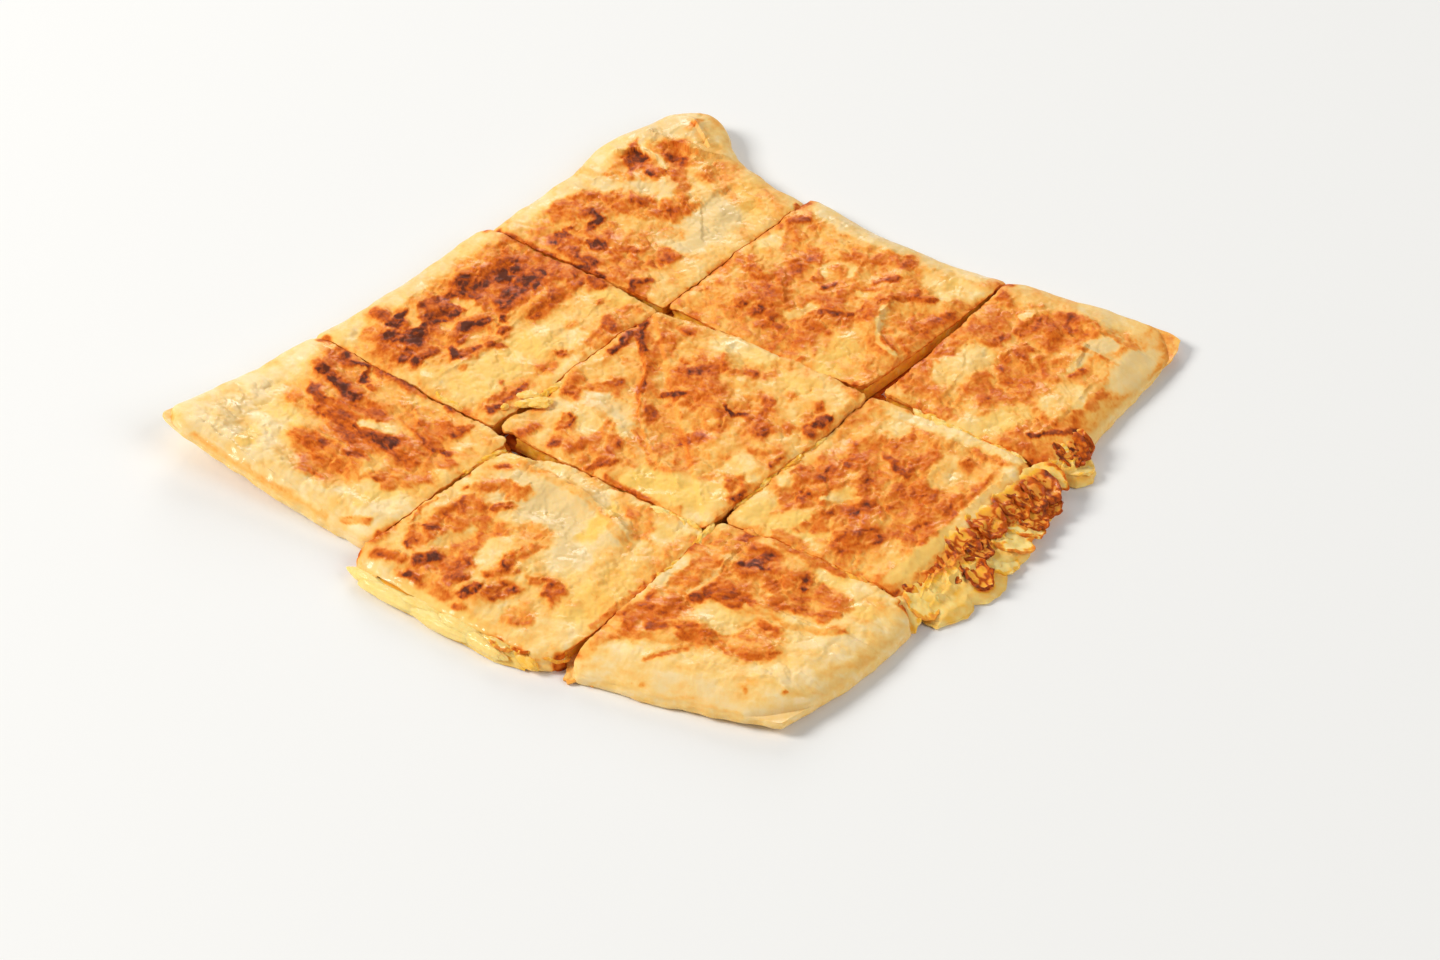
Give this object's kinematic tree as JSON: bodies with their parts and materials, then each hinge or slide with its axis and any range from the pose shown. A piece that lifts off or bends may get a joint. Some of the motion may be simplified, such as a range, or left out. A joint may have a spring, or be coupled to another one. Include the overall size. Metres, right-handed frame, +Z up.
{
  "type": "murtabak",
  "caption": "Square pan-fried flatbread folded round an egg filling and cut into a grid of slices that lie together, with browned dough and a crisp egg frill.",
  "frame": {"origin": "on the ground under the middle of the bread's bounding box", "axes": "+X runs right along the front edge, +Y towards the back edge, +Z up through the fried top"},
  "size_m": [0.2226, 0.2238, 0.0143],
  "materials": {
    "fried_dough": "oily fried dough, cream to golden with red-brown patches",
    "egg_filling": "soft set egg, pale yellow, brown and crisp where it ran out"
  },
  "bodies": {
    "root": {"back_left_dough": "fried_dough", "back_left_filling": "egg_filling", "back_middle_dough": "fried_dough", "back_middle_filling": "egg_filling", "back_right_dough": "fried_dough", "back_right_filling": "egg_filling", "middle_left_dough": "fried_dough", "middle_left_filling": "egg_filling", "middle_right_dough": "fried_dough", "middle_right_filling": "egg_filling", "front_left_dough": "fried_dough", "front_left_filling": "egg_filling", "front_middle_dough": "fried_dough", "front_middle_filling": "egg_filling", "front_right_dough": "fried_dough", "front_right_filling": "egg_filling", "centre_bottom_dough": "fried_dough", "centre_filling": "egg_filling", "centre_top_dough": "fried_dough", "egg_scrap": "egg_filling"}
  },
  "joints": []
}
